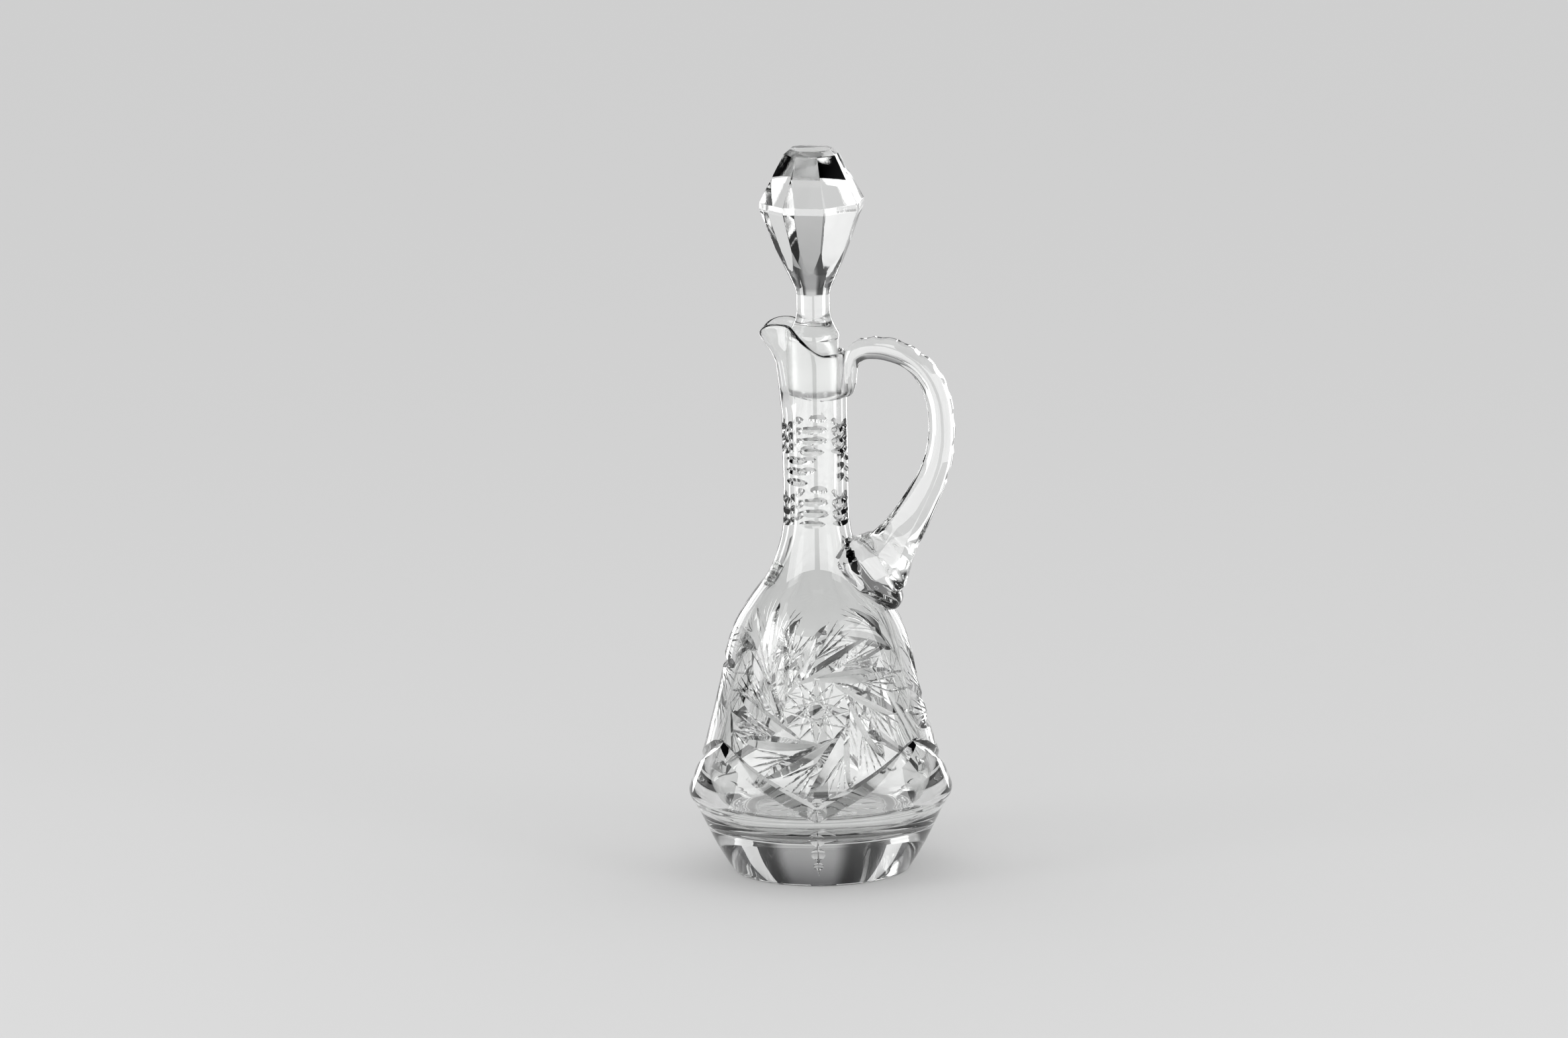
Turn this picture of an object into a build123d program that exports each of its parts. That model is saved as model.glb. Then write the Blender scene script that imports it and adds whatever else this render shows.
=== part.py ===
from build123d import *
import os
from math import acos, atan2, cos, degrees, pi, radians, sin, sqrt, tan

# Cut glass wine decanter: a thick blown and cut vessel with a pouring lip, a handle of applied
# glass, and a solid cut stopper whose ground plug sits in the neck. Lengths are millimetres.
# The origin is the centre of the foot's underside, +Z is up, the handle points along +X and
# the pouring lip along -X.

# vessel, outside
FOOT_RADIUS = 42.6
FOOT_BEVEL = 1.0
RING_RADIUS = 63.0
RING_HEIGHT = 38.5
RING_ROUNDING = 4.0
RING_TOP_DEGREES = 24.0
NECK_RADIUS = 15.6
NECK_START_HEIGHT = 170.0
RIM_HEIGHT = 252.0
LIP_RISE = 14.0
LIP_REACH = 10.4
LIP_HALF_WIDTH = 10.8
LIP_ROOT_DROP = 37.0

# vessel, inside
BASE_THICKNESS = 24.0
BODY_WALL = 5.4
FLOOR_ROUNDING = 17.0
BORE_RADIUS = 10.6
LIP_WALL = 3.0

# underside: a shallow ground recess with a star cut in it
RECESS_RADIUS = 34.5
RECESS_DEPTH = 1.0
STAR_RAYS = 16
STAR_DEPTH = 1.8
STAR_WHEEL_RADIUS = 210.0

# stopper
PLUG_LENGTH = 28.5
PLUG_TOP_RADIUS = 12.2
PLUG_TAPER_DEGREES = 2.6
PLUG_STAND_UP = 7.0
PLUG_BEVEL = 0.6
FIT_CLEARANCE = 0.1
FLARE_LENGTH = 10.4
STEM_RADIUS = 8.0
STEM_LENGTH = 11.6
FINIAL_LENGTH = 69.0
FINIAL_FACETS = 8
FINIAL_HALF_WIDTH = 24.2
FINIAL_FOOT_LENGTH = 10.5
FINIAL_FOOT_RADIUS = 12.8
TABLE_HALF_WIDTH = 11.6
GIRDLE_DEPTH = 25.0
GIRDLE_BAND = 3.0

# handle
HANDLE_REACH = 52.7
HANDLE_PANELS = 8
HANDLE_HALF_WIDTH = 6.2
PAD_FOOT_HEIGHT = 125.0
PAD_HALF_WIDTH = 17.0
SCALLOPS = 9
SCALLOPED_STATIONS = slice(5, 12)
SCALLOP_RADIUS = 10.0
SCALLOP_DEPTH = 0.9

# cutting wheels: the half angle of a mitre groove, and how far a cut runs over its edge
GROOVE_HALF_ANGLE = 54.0
OVERRUN = 2.0

# pinwheels round the body
PINWHEELS = 3
PINWHEEL_TURN = -82.0
PINWHEEL_HEIGHT = 87.0
PINWHEEL_BLADES = 12
BLADE_TURN = 22.5
BLADE_INNER_RADIUS = 15.4
BLADE_OUTER_RADIUS = 38.6
BLADE_DEPTH = 1.8
BLADE_WHEEL_RADIUS = 60.0

# garland of flutes under the pinwheels
GARLAND_LOW_HEIGHT = 41.0
GARLAND_HIGH_HEIGHT = 66.0
GARLAND_DEPTH = 1.3
GARLAND_WHEEL_RADIUS = 6.0

# round beads in a column from each low point of the garland to the foot
BEAD_RADIUS = 3.6
BEAD_DEPTH = 1.1

# short notches in threes on the neck
NOTCH_GROUP = 3
NOTCH_COLUMNS = 6
NOTCH_TURN = -88.0
NOTCH_DEPTH = 1.5
NOTCH_WHEEL_RADIUS = 14.0
NOTCH_SPACING = 5.6
NOTCH_LOWER_HEIGHT = 176.0
NOTCH_MIDDLE_HEIGHT = 196.0
NOTCH_UPPER_HEIGHT = 211.0

# body outline from the ring to the start of the neck: share of the way from the neck's radius
# out to the ring's, and share of the height between them
BODY_OUTLINE_SHARES = (
    (0.867, 0.133), (0.749, 0.285), (0.652, 0.430), (0.589, 0.544), (0.496, 0.635),
    (0.346, 0.719), (0.171, 0.810), (0.055, 0.901),
)

# beads from the garland to the foot: share of the ring's height, and share of the bead's size
BEAD_SHARES = ((1.16, 0.85), (1.03, 0.90), (0.68, 1.00), (0.48, 1.00), (0.31, 0.65))

# pouring lip from its root to its crest: share of the reach, and share of the height
LIP_OUTLINE_SHARES = (
    (-0.05, 0.00), (0.08, 0.27), (0.22, 0.47), (0.34, 0.63), (0.52, 0.74), (0.84, 0.82),
    (0.97, 0.89), (1.00, 1.00),
)
LIP_CENTRE_SHARE = 0.25
LIP_OUTLINE_POINTS = 16
LIP_SECTIONS = 13

# rim seen from the side, from the handle to the lip: share of the neck's width and the lip's
# reach together, and share of the rise from the rim's low side to its crest
RIM_OUTLINE_SHARES = (
    (0.10, 0.00), (0.24, 0.08), (0.37, 0.24), (0.53, 0.62), (0.68, 0.93), (0.78, 1.00),
    (0.90, 0.86), (0.97, 0.66),
)

# handle from its curled tail on the neck, over the top and down to its pad on the shoulder: for
# the side by the neck and the side away from it, share of the reach and share of the height
# from the pad's foot to the rim; then share of the half width
HANDLE_SHARES = (
    (0.042, 0.835, -0.010, 0.840, 0.40), (0.080, 0.866, -0.010, 0.874, 0.68),
    (0.101, 0.926, -0.010, 0.942, 0.84), (0.118, 0.956, 0.018, 1.016, 0.94),
    (0.150, 0.970, 0.106, 1.046, 1.00), (0.254, 0.974, 0.240, 1.058, 1.00),
    (0.396, 0.964, 0.442, 1.050, 1.00), (0.542, 0.944, 0.654, 1.008, 1.00),
    (0.638, 0.900, 0.800, 0.950, 1.00), (0.722, 0.832, 0.926, 0.860, 1.00),
    (0.756, 0.732, 1.000, 0.720, 1.00), (0.716, 0.634, 0.966, 0.590, 1.00),
    (0.664, 0.567, 0.888, 0.490, 1.02), (0.562, 0.491, 0.795, 0.398, 1.06),
    (0.470, 0.433, 0.694, 0.304, 1.16), (0.376, 0.381, 0.606, 0.241, 1.36),
    (0.262, 0.340, 0.526, 0.146, 1.76),
)

# pad of the handle, in the same way, but out from the shoulder's outline and level with it:
# shares of the half width for how far each side stands out from the shoulder, share of the
# height of each side, and share of the pad's half width
PAD_SHARES = (
    (1.24, 0.306, 1.68, 0.072, 0.82), (0.53, 0.286, 0.50, 0.021, 0.94),
    (0.00, 0.276, 0.00, 0.002, 1.00), (-0.90, 0.235, -0.90, -0.030, 1.02),
)

# places that follow from the sizes above
NECK_SPAN = RING_RADIUS - NECK_RADIUS
BODY_SPAN = NECK_START_HEIGHT - RING_HEIGHT
CREST_HEIGHT = RIM_HEIGHT + LIP_RISE
LIP_ROOT_HEIGHT = RIM_HEIGHT - LIP_ROOT_DROP
PLUG_TOP_HEIGHT = RIM_HEIGHT + PLUG_STAND_UP
PLUG_BOTTOM_HEIGHT = PLUG_TOP_HEIGHT - PLUG_LENGTH
PLUG_BOTTOM_RADIUS = PLUG_TOP_RADIUS - PLUG_LENGTH * tan(radians(PLUG_TAPER_DEGREES))
STEM_START_HEIGHT = PLUG_TOP_HEIGHT + FLARE_LENGTH
FINIAL_START_HEIGHT = STEM_START_HEIGHT + STEM_LENGTH
TABLE_HEIGHT = FINIAL_START_HEIGHT + FINIAL_LENGTH
GIRDLE_HEIGHT = TABLE_HEIGHT - GIRDLE_DEPTH


def wall_at(radius):
    """Level thickness of the wall where the outside has this radius."""
    neck_wall = NECK_RADIUS - BORE_RADIUS
    return neck_wall + (BODY_WALL - neck_wall) * (radius - NECK_RADIUS) / NECK_SPAN


def body_points(inside=False):
    """Points of the body between ring and neck, outside or on the inner face of the wall."""
    points = []
    for radius_share, height_share in BODY_OUTLINE_SHARES:
        radius = NECK_RADIUS + NECK_SPAN * radius_share
        height = RING_HEIGHT + BODY_SPAN * height_share
        points.append((radius - wall_at(radius) * inside, height))
    return points


def body_radius_at(height):
    """Outer radius of the vessel at a height, from the underside to the neck."""
    points = [(FOOT_RADIUS, 0), (RING_RADIUS, RING_HEIGHT), *body_points(), (NECK_RADIUS, NECK_START_HEIGHT)]
    for (low_radius, low), (high_radius, high) in zip(points, points[1:]):
        if low <= height <= high:
            return low_radius + (high_radius - low_radius) * (height - low) / (high - low)
    return NECK_RADIUS


def body_slope_at(height):
    """How many degrees the outer face leans back from upright at a height."""
    step = RING_ROUNDING / 2
    gain = body_radius_at(height + step) - body_radius_at(height - step)
    return -degrees(atan2(gain, step * 2))


def ring_arc():
    """Rounded edge of the ring, tangent to the cone of the foot below it."""
    reach = RING_RADIUS - RING_ROUNDING - FOOT_RADIUS
    rise = RING_HEIGHT - FOOT_BEVEL
    run = sqrt(reach**2 + rise**2 - RING_ROUNDING**2)
    start = degrees(atan2(rise, reach)) + degrees(atan2(RING_ROUNDING, run)) - 90
    return CenterArc((RING_RADIUS - RING_ROUNDING, RING_HEIGHT), RING_ROUNDING, start, RING_TOP_DEGREES - start)


def turned(edges):
    """Solid turned from a half outline in the plane of the handle."""
    return revolve(Plane.XZ * make_face(Curve() + edges), Axis.Z)


def closed_chain(points):
    """Straight edges through the points and back to the first."""
    return Polyline(*points, close=True)


def turned_blank():
    """Filled outside of the vessel, without its lip."""
    ring = ring_arc()
    bevel_start = (FOOT_RADIUS - FOOT_BEVEL, 0)
    bevel_end = (FOOT_RADIUS, FOOT_BEVEL)
    neck_start = (NECK_RADIUS, NECK_START_HEIGHT)
    neck_end = (NECK_RADIUS, CREST_HEIGHT)
    return turned([
        Line((0, 0), bevel_start),
        Line(bevel_start, bevel_end),
        Line(bevel_end, ring @ 0),
        ring,
        Spline(ring @ 1, *body_points(), neck_start, tangents=(ring % 1, (0, 1))),
        Line(neck_start, neck_end),
        Line(neck_end, (0, CREST_HEIGHT)),
        Line((0, CREST_HEIGHT), (0, 0)),
    ])


def lip_nose(thinner=0.0):
    """Drawn lip as a solid nose that leaves the neck below the rim, or its channel, thinner."""
    centre = NECK_RADIUS * LIP_CENTRE_SHARE
    width = LIP_HALF_WIDTH - thinner
    rise = CREST_HEIGHT + OVERRUN - LIP_ROOT_HEIGHT
    side = Spline(*[(LIP_REACH * out, LIP_ROOT_HEIGHT + rise * up) for out, up in LIP_OUTLINE_SHARES])
    turns = [2 * pi * i / LIP_OUTLINE_POINTS for i in range(LIP_OUTLINE_POINTS)]
    sections = []
    for step in range(LIP_SECTIONS):
        edge = side @ (step / (LIP_SECTIONS - 1))
        length = NECK_RADIUS - centre + edge.X - thinner
        points = []
        for turn in turns:
            reach = length if cos(turn) < 0 else centre
            points.append((reach * cos(turn) - centre, width * sin(turn), edge.Y))
        sections.append(make_face(Spline(*points, periodic=True)))
    return loft(sections, ruled=True)


def cavity():
    """Space inside the body and the neck, up past the crest."""
    floor_radius = body_radius_at(RING_HEIGHT + FLOOR_ROUNDING / 2) - BODY_WALL - FLOOR_ROUNDING
    floor_end = (floor_radius, BASE_THICKNESS)
    corner_end = (floor_radius + FLOOR_ROUNDING, BASE_THICKNESS + FLOOR_ROUNDING)
    bore_start = (BORE_RADIUS, NECK_START_HEIGHT)
    socket_start = (BORE_RADIUS, PLUG_BOTTOM_HEIGHT - PLUG_BEVEL)
    return turned([
        Line((0, BASE_THICKNESS), floor_end),
        RadiusArc(floor_end, corner_end, -FLOOR_ROUNDING),
        Spline(corner_end, *body_points(inside=True), bore_start, tangents=((0, 1), (0, 1))),
        Line(bore_start, socket_start),
        Line(socket_start, (0, PLUG_BOTTOM_HEIGHT - PLUG_BEVEL)),
        Line((0, PLUG_BOTTOM_HEIGHT - PLUG_BEVEL), (0, BASE_THICKNESS)),
    ])


def socket():
    """Tapered seat ground in the neck for the plug, a clearance wider than the plug."""
    foot = PLUG_BOTTOM_HEIGHT - PLUG_BEVEL
    grow = tan(radians(PLUG_TAPER_DEGREES))
    top = CREST_HEIGHT + OVERRUN
    foot_radius = PLUG_BOTTOM_RADIUS - PLUG_BEVEL * grow + FIT_CLEARANCE
    top_radius = foot_radius + (top - foot) * grow
    return turned([closed_chain([(0, foot), (foot_radius, foot), (top_radius, top), (0, top)])])


def above_rim():
    """Everything above the rim's line, as seen from the side."""
    width = 2 * NECK_RADIUS + LIP_REACH
    points = []
    for width_share, rise_share in RIM_OUTLINE_SHARES:
        points.append((NECK_RADIUS - width * width_share, RIM_HEIGHT + LIP_RISE * rise_share))
    right = NECK_RADIUS + OVERRUN
    left = -NECK_RADIUS - LIP_REACH - OVERRUN
    top = CREST_HEIGHT + OVERRUN
    rim = Spline((right, RIM_HEIGHT), *points)
    outline = Curve() + [
        rim,
        Line(rim @ 1, (left, RIM_HEIGHT + LIP_RISE / 2)),
        Line((left, RIM_HEIGHT + LIP_RISE / 2), (left, top)),
        Line((left, top), (right, top)),
        Line((right, top), (right, RIM_HEIGHT)),
    ]
    return extrude(Plane.XZ * make_face(outline), NECK_RADIUS + OVERRUN, both=True)


def blank():
    """Filled outside of the vessel with its lip."""
    return turned_blank() + lip_nose()


def plain_vessel():
    """Hollow vessel with its lip, socket, slanted rim and ground underside, before it is cut."""
    recess = Cylinder(RECESS_RADIUS, RECESS_DEPTH * 2)
    return blank() - cavity() - socket() - lip_nose(LIP_WALL) - above_rim() - recess


def on_body(turn, height, sink=0.0):
    """Place on the outer face, facing out: local X runs level, local Y up the face."""
    out = Location((0, 0, height), (0, 0, turn)) * Location((body_radius_at(height) - sink, 0, 0))
    lean = Location((0, 0, 0), (0, -body_slope_at(height), 0))
    return out * lean * Location((0, 0, 0), (90, 90, 0))


def mitre_wheel(wheel_radius, depth):
    """V-edged cutting wheel that runs along local X and reaches the depth below the origin."""
    flank = depth + OVERRUN
    half_width = flank * tan(radians(GROOVE_HALF_ANGLE))
    half_wheel = closed_chain([
        (0, -half_width), (wheel_radius - flank, -half_width), (wheel_radius, 0),
        (wheel_radius - flank, half_width), (0, half_width),
    ])
    wheel = revolve(make_face(half_wheel), Axis.Y)
    return Location((0, 0, wheel_radius - depth)) * wheel


def pinwheel_blades():
    """Mitre cuts that run tangent to each pinwheel's centre, out to its tips."""
    cuts = []
    inner_turn = degrees(acos(BLADE_INNER_RADIUS / BLADE_OUTER_RADIUS))
    half_length = sqrt(BLADE_OUTER_RADIUS**2 - BLADE_INNER_RADIUS**2) / 2
    for wheel in range(PINWHEELS):
        turn = PINWHEEL_TURN + wheel * 360 / PINWHEELS
        for blade in range(PINWHEEL_BLADES):
            tip = radians(BLADE_TURN + blade * 360 / PINWHEEL_BLADES)
            root = tip + radians(inner_turn)
            level = (BLADE_OUTER_RADIUS * cos(tip) + BLADE_INNER_RADIUS * cos(root)) / 2
            rise = (BLADE_OUTER_RADIUS * sin(tip) + BLADE_INNER_RADIUS * sin(root)) / 2
            height = PINWHEEL_HEIGHT + rise
            radius = body_radius_at(height)
            direction = degrees(tip) - 90 + inner_turn
            bend = cos(radians(direction)) ** 2 / radius
            depth = max(BLADE_DEPTH, half_length**2 * bend / 2 + BLADE_DEPTH / 2)
            place = on_body(turn + degrees(level / radius), height) * Location((0, 0, 0), (0, 0, direction))
            cuts.append(place * mitre_wheel(BLADE_WHEEL_RADIUS, depth))
    return cuts


def neck_notches():
    """Short level cuts in threes: columns with a low and a high group, and one beside every other."""
    cuts = []
    for column in range(NOTCH_COLUMNS):
        turn = NOTCH_TURN + column * 360 / NOTCH_COLUMNS
        groups = [(NOTCH_LOWER_HEIGHT, turn), (NOTCH_UPPER_HEIGHT, turn)]
        if column % 2 == 0:
            groups.append((NOTCH_MIDDLE_HEIGHT, turn - 180 / NOTCH_COLUMNS))
        for middle, group_turn in groups:
            for step in range(NOTCH_GROUP):
                height = middle + NOTCH_SPACING * (step - (NOTCH_GROUP - 1) / 2)
                cuts.append(on_body(group_turn, height) * mitre_wheel(NOTCH_WHEEL_RADIUS, NOTCH_DEPTH))
    return cuts


def beads():
    """Round hollows in a column under each pinwheel, from the garland to the foot."""
    cuts = []
    for wheel in range(PINWHEELS):
        turn = PINWHEEL_TURN + wheel * 360 / PINWHEELS
        for height_share, size_share in BEAD_SHARES:
            depth = BEAD_DEPTH * size_share
            ball_radius = ((BEAD_RADIUS * size_share)**2 + depth**2) / (2 * depth)
            cuts.append(on_body(turn, RING_HEIGHT * height_share, depth - ball_radius) * Sphere(ball_radius))
    return cuts


def garland():
    """Hollow flutes hung from between the pinwheels: a ring's arc each side of each low point."""
    half_span = 90 / PINWHEELS
    middle_height = (GARLAND_LOW_HEIGHT + GARLAND_HIGH_HEIGHT) / 2
    out = body_radius_at(middle_height) + GARLAND_WHEEL_RADIUS - GARLAND_DEPTH
    tilt = degrees(atan2(GARLAND_HIGH_HEIGHT - GARLAND_LOW_HEIGHT, 2 * out * sin(radians(half_span))))
    shift = body_radius_at(GARLAND_LOW_HEIGHT) - body_radius_at(GARLAND_HIGH_HEIGHT)
    section = Plane.XZ * Location((out, 0)) * Circle(GARLAND_WHEEL_RADIUS)
    arc = Location((0, 0, 0), (0, 0, -half_span)) * revolve(section, Axis.Z, revolution_arc=2 * half_span)
    cuts = []
    for wheel in range(PINWHEELS):
        for side in (-1, 1):
            middle_turn = PINWHEEL_TURN + wheel * 360 / PINWHEELS + side * half_span
            place = Location((0, 0, middle_height), (0, 0, middle_turn)) * Location((0, -side * shift, 0))
            cuts.append(place * Location((0, 0, 0), (side * tilt, 0, 0)) * arc)
    return cuts


def base_star():
    """Mitre cuts across the underside, through its middle."""
    cuts = []
    for ray in range(STAR_RAYS // 2):
        place = Location((0, 0, RECESS_DEPTH), (180, 0, ray * 360 / STAR_RAYS))
        cuts.append(place * mitre_wheel(STAR_WHEEL_RADIUS, STAR_DEPTH))
    return cuts


def vessel():
    """Vessel with all of its wheel cuts."""
    return plain_vessel() - garland() - beads() - pinwheel_blades() - base_star() - neck_notches()


def finial():
    """Faceted head of the stopper: a turned blank with flat facets above and below its girdle."""
    foot_end = FINIAL_START_HEIGHT + FINIAL_FOOT_LENGTH
    lean = (FINIAL_FOOT_RADIUS - STEM_RADIUS) / FINIAL_FOOT_LENGTH
    corner = FINIAL_HALF_WIDTH / cos(pi / FINIAL_FACETS)
    shape = closed_chain([
        (0, FINIAL_START_HEIGHT - OVERRUN), (STEM_RADIUS, FINIAL_START_HEIGHT - OVERRUN),
        (STEM_RADIUS, FINIAL_START_HEIGHT), (FINIAL_FOOT_RADIUS, foot_end),
        (corner, foot_end + (corner - FINIAL_FOOT_RADIUS) / lean), (corner, TABLE_HEIGHT), (0, TABLE_HEIGHT),
    ])
    low_slope = (FINIAL_HALF_WIDTH - FINIAL_FOOT_RADIUS) / (GIRDLE_HEIGHT - GIRDLE_BAND - foot_end)
    low_half_width = FINIAL_FOOT_RADIUS - low_slope * (foot_end - FINIAL_START_HEIGHT + OVERRUN)
    facets = []
    for height, half_width in (
        (FINIAL_START_HEIGHT - OVERRUN, low_half_width),
        (GIRDLE_HEIGHT - GIRDLE_BAND, FINIAL_HALF_WIDTH),
        (GIRDLE_HEIGHT, FINIAL_HALF_WIDTH),
        (TABLE_HEIGHT, TABLE_HALF_WIDTH),
    ):
        section = RegularPolygon(half_width, FINIAL_FACETS, major_radius=False, rotation=180 / FINIAL_FACETS)
        facets.append(Location((0, 0, height)) * section)
    return turned([shape]) & loft(facets, ruled=True)


def stopper():
    """Solid stopper: ground plug, flared collar, stem and faceted finial."""
    outline = closed_chain([
        (0, PLUG_BOTTOM_HEIGHT),
        (PLUG_BOTTOM_RADIUS - PLUG_BEVEL, PLUG_BOTTOM_HEIGHT),
        (PLUG_BOTTOM_RADIUS, PLUG_BOTTOM_HEIGHT + PLUG_BEVEL),
        (PLUG_TOP_RADIUS, PLUG_TOP_HEIGHT),
        (STEM_RADIUS, STEM_START_HEIGHT),
        (STEM_RADIUS, FINIAL_START_HEIGHT),
        (0, FINIAL_START_HEIGHT),
    ])
    return turned([outline]) + finial()


def handle_stations():
    """Side by the neck, side away from it and half width of the handle, from tail to pad."""
    span = RIM_HEIGHT - PAD_FOOT_HEIGHT
    stations = []
    for near_out, near_up, far_out, far_up, wide in HANDLE_SHARES:
        near = (NECK_RADIUS + HANDLE_REACH * near_out, PAD_FOOT_HEIGHT + span * near_up)
        far = (NECK_RADIUS + HANDLE_REACH * far_out, PAD_FOOT_HEIGHT + span * far_up)
        stations.append((near, far, HANDLE_HALF_WIDTH * wide))
    for near_out, near_up, far_out, far_up, wide in PAD_SHARES:
        near_height = PAD_FOOT_HEIGHT + span * near_up
        far_height = PAD_FOOT_HEIGHT + span * far_up
        near = (body_radius_at(near_height) + HANDLE_HALF_WIDTH * near_out, near_height)
        far = (body_radius_at(far_height) + HANDLE_HALF_WIDTH * far_out, far_height)
        stations.append((near, far, PAD_HALF_WIDTH * wide))
    return stations


def handle_section(near, far, half_width):
    """Eight-sided section of the handle, between its side by the neck and its far side."""
    across = Vector(far[0] - near[0], 0, far[1] - near[1])
    middle = ((far[0] + near[0]) / 2, 0, (far[1] + near[1]) / 2)
    corners = []
    for i in range(HANDLE_PANELS):
        turn = (i + 0.5) * 2 * pi / HANDLE_PANELS
        reach = 1 / cos(pi / HANDLE_PANELS)
        corners.append((across.length / 2 * reach * cos(turn), half_width * reach * sin(turn)))
    course = across.cross(Vector(0, 1, 0))
    return Plane(middle, x_dir=across, z_dir=course) * make_face(closed_chain(corners))


def scallops():
    """Shallow cuts in a row along the handle's far side, over its bend."""
    far_sides = [far for _, far, _ in handle_stations()[SCALLOPED_STATIONS]]
    bend = Spline(*far_sides)
    cuts = []
    for step in range(SCALLOPS):
        share = (step + 0.5) / SCALLOPS
        edge = bend @ share
        along = bend % share
        out = Vector(-along.Y, along.X)
        if out.X < 0:
            out = -out
        middle = edge + out * (SCALLOP_RADIUS - SCALLOP_DEPTH)
        cuts.append(Plane.XZ * Location((middle.X, middle.Y)) * Cylinder(SCALLOP_RADIUS, 4 * HANDLE_HALF_WIDTH))
    return cuts


def handle():
    """Panelled handle from its curled tail on the neck to its pad on the shoulder."""
    bar = loft([handle_section(*station) for station in handle_stations()], ruled=True)
    return bar - scallops() - blank()


decanter = {"vessel": vessel(), "handle": handle(), "stopper": stopper()}
os.makedirs("parts", exist_ok=True)
for name, shape in decanter.items():
    print(name, round(shape.volume), len(shape.solids()))
    export_step(shape, f"parts/{name}.step")
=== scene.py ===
# %% [markdown]
# # A cut glass wine decanter
# The object is a blown, wheel-cut decanter with a drawn pouring lip, a handle of applied glass and a
# solid faceted stopper. Everything is one clear material, so the light bends through every surface
# and the mesh has to be a closed, watertight wall of glass. This lesson loads the measured frame
# first, and then builds each piece of glass in millimetres, in the frame's own place.

# %% Load the frame
from math import atan2, cos, degrees, exp, hypot, pi, radians, sin, sqrt, tan

import bmesh
import bpy
from mathutils import Matrix, Vector
from mathutils.bvhtree import BVHTree
from mathutils.geometry import barycentric_transform


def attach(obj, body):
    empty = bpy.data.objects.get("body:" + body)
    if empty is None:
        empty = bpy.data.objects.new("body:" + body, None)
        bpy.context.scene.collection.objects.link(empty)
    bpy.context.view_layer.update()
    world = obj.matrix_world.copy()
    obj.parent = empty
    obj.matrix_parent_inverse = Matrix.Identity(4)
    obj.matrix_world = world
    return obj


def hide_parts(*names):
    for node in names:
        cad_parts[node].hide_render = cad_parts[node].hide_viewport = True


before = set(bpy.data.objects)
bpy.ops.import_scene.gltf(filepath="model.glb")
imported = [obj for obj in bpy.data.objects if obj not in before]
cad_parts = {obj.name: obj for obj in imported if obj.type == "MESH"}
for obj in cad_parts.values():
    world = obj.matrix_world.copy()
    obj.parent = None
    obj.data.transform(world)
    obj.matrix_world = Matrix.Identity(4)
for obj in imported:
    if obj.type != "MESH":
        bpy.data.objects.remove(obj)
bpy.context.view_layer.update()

MM = 0.001

# %% [markdown]
# Glass wants smooth outlines: a kink in the profile shows as a bright line once light bends through
# it. A profile could be a long list of numbers, but Blender's Bezier curve draws the same line from
# a few given points. Its automatic handles keep the line smooth, and a vector handle makes
# a corner where one is wanted.

# %% A smooth line through a few points
def smooth_line(points, steps, corners=()):
    """Points of a Bezier curve that passes through the given points, with corners at some places."""
    curve = bpy.data.curves.new("template", "CURVE")
    curve.dimensions = "3D"
    spline = curve.splines.new("BEZIER")
    spline.bezier_points.add(len(points) - 1)
    spline.resolution_u = steps
    for i, (knot, point) in enumerate(zip(spline.bezier_points, points)):
        knot.co = (point[0], 0, point[1])
        knot.handle_left_type = knot.handle_right_type = "VECTOR" if i in corners else "AUTO"
    holder = bpy.data.objects.new("template", curve)
    bpy.context.scene.collection.objects.link(holder)
    bpy.context.view_layer.update()
    mesh = bpy.data.meshes.new_from_object(holder)
    line = [v.co.copy() for v in mesh.vertices]
    bpy.data.objects.remove(holder)
    bpy.data.curves.remove(curve)
    bpy.data.meshes.remove(mesh)
    return line


def share_between(low, high, value):
    """Smooth step: 0 at or below low, 1 at or above high."""
    t = min(max((value - low) / (high - low), 0.0), 1.0)
    return t * t * (3 - 2 * t)


# %% [markdown]
# Each mesh is kept in millimetres while it is shaped. One helper turns a bmesh into an object, and
# another runs Blender's Boolean modifier and keeps the result. The Manifold solver is fast and
# exact on closed meshes, so a hundred wheel cuts take seconds.

# %% Mesh helpers
finishes = []


def shape_object(bm, name):
    """Object with the bmesh as its mesh, and with every finish in its slots."""
    mesh = bpy.data.meshes.new(name)
    bm.to_mesh(mesh)
    bm.free()
    for finish in finishes:
        mesh.materials.append(finish)
    piece = bpy.data.objects.new(name, mesh)
    bpy.context.scene.collection.objects.link(piece)
    return piece


def combine(piece, tool, operation):
    """Boolean of the piece with the tool, kept as the piece's mesh. The tool is used up."""
    step = piece.modifiers.new("combine", "BOOLEAN")
    step.operation = operation
    step.solver = "MANIFOLD"
    step.object = tool
    graph = bpy.context.evaluated_depsgraph_get()
    mesh = bpy.data.meshes.new_from_object(piece.evaluated_get(graph))
    piece.modifiers.clear()
    piece.data = mesh
    bpy.data.objects.remove(tool)
    return piece


def turn_round(bm, turns):
    """Spins the bmesh's open outline once round the Z axis and closes its poles."""
    outline = bm.verts[:] + bm.edges[:]
    bmesh.ops.spin(bm, geom=outline, axis=(0, 0, 1), cent=(0, 0, 0), dvec=(0, 0, 0), angle=2 * pi,
                   steps=turns, use_merge=True, use_duplicate=False)
    bmesh.ops.remove_doubles(bm, verts=bm.verts[:], dist=0.002)
    bmesh.ops.recalc_face_normals(bm, faces=bm.faces[:])


def outline_mesh(line):
    """Bmesh with one open chain of edges along the line."""
    bm = bmesh.new()
    chain = [bm.verts.new(p) for p in line]
    for one, two in zip(chain, chain[1:]):
        bm.edges.new((one, two))
    return bm


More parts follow.
